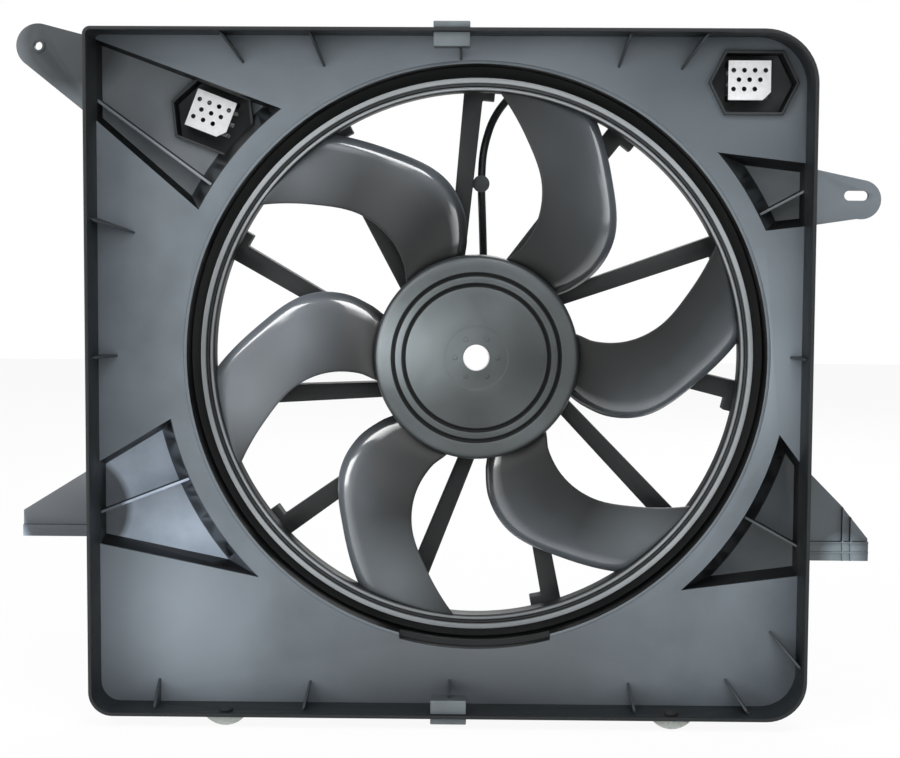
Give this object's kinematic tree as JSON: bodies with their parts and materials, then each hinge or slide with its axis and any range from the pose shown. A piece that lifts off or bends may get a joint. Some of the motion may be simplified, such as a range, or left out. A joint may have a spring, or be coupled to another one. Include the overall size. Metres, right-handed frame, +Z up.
{
  "type": "radiator fan",
  "caption": "Banded axial engine cooling fan in a rectangular moulded shroud, with its motor on leaning struts, two speed resistors and corner mounts.",
  "frame": {"origin": "on the fan's axis, in the plane of the shroud's rim that faces the radiator", "axes": "+X to the right and +Z up, seen from the radiator; +Y from the radiator into the engine bay"},
  "size_m": [0.663, 0.122, 0.53],
  "materials": {
    "shroud_plastic": "black glass-filled plastic, moulded, satin",
    "fan_plastic": "dark grey moulded plastic, satin",
    "white_plastic": "white moulded plastic",
    "clip_plastic": "mid grey moulded plastic",
    "zinc_steel": "zinc plated steel",
    "can_steel": "black coated drawn steel",
    "bearing_steel": "ground steel",
    "bronze": "oil-filled sintered bronze",
    "lamination": "stacked electrical sheet",
    "copper": "enamelled and bare copper",
    "ferrite": "pressed ferrite",
    "carbon": "pressed carbon",
    "phenolic": "brown phenolic board",
    "brass_sheet": "folded brass sheet",
    "bright_sheet": "bright perforated sheet",
    "resistance_wire": "resistance wire",
    "ceramic": "fired ceramic",
    "lead_rubber": "black cable sheath",
    "soft_rubber": "black rubber",
    "pad_rubber": "translucent grey-green elastomer"
  },
  "bodies": {
    "shroud": {"shroud_rim": "shroud_plastic", "shroud_plate": "shroud_plastic", "wall_gussets": "shroud_plastic", "channel_mount_upper_left": "shroud_plastic", "channel_mount_upper_right": "shroud_plastic", "channel_mount_lower_left": "shroud_plastic", "channel_mount_lower_right": "shroud_plastic", "tunnel": "shroud_plastic", "struts": "shroud_plastic", "motor_ring": "shroud_plastic", "motor_can": "can_steel", "motor_end_cap": "zinc_steel", "motor_flange": "zinc_steel", "motor_screws": "zinc_steel", "front_bearing": "bearing_steel", "rear_bush": "bronze", "field_magnets": "ferrite", "magnet_springs": "zinc_steel", "brush_card": "phenolic", "brush_holders": "brass_sheet", "brush_spring_upper": "bearing_steel", "brush_spring_lower": "bearing_steel", "motor_lead": "lead_rubber", "lead_clip": "clip_plastic", "lead_grommet": "soft_rubber", "lead_connector": "shroud_plastic", "connector_pins": "brass_sheet", "connector_bracket": "shroud_plastic", "top_clip": "clip_plastic", "bottom_clip": "clip_plastic", "lower_pad_left": "pad_rubber", "lower_pad_right": "pad_rubber", "resistor_frame_left": "shroud_plastic", "resistor_guard_left": "bright_sheet", "resistor_core_left": "ceramic", "resistor_coil_left": "resistance_wire", "resistor_terminals_left": "brass_sheet", "resistor_frame_right": "shroud_plastic", "resistor_guard_right": "bright_sheet", "resistor_core_right": "ceramic", "resistor_coil_right": "resistance_wire", "resistor_terminals_right": "brass_sheet"},
    "rotor": {"fan_hub": "fan_plastic", "fan_blades": "fan_plastic", "fan_band": "fan_plastic", "hub_plug": "white_plastic", "fan_nut": "zinc_steel", "hub_insert": "zinc_steel", "motor_shaft": "bearing_steel", "armature_core": "lamination", "armature_winding": "copper", "commutator": "copper"},
    "upper_brush": {"brush_upper": "carbon"},
    "lower_brush": {"brush_lower": "carbon"}
  },
  "joints": [
    {"name": "fan_spin", "type": "hinge", "parent": "shroud", "child": "rotor", "pos_m": [0, 0, 0], "axis": [0, -1, 0], "continuous": true},
    {"name": "upper_brush_slide", "type": "slide", "parent": "shroud", "child": "upper_brush", "axis": [0, 0, 1], "range_m": [0, 0.004], "stiffness_N_per_m": 250, "springref_m": -0.012, "deforming": ["brush_spring_upper"]},
    {"name": "lower_brush_slide", "type": "slide", "parent": "shroud", "child": "lower_brush", "axis": [0, 0, -1], "range_m": [0, 0.004], "stiffness_N_per_m": 250, "springref_m": -0.012, "deforming": ["brush_spring_lower"]}
  ]
}
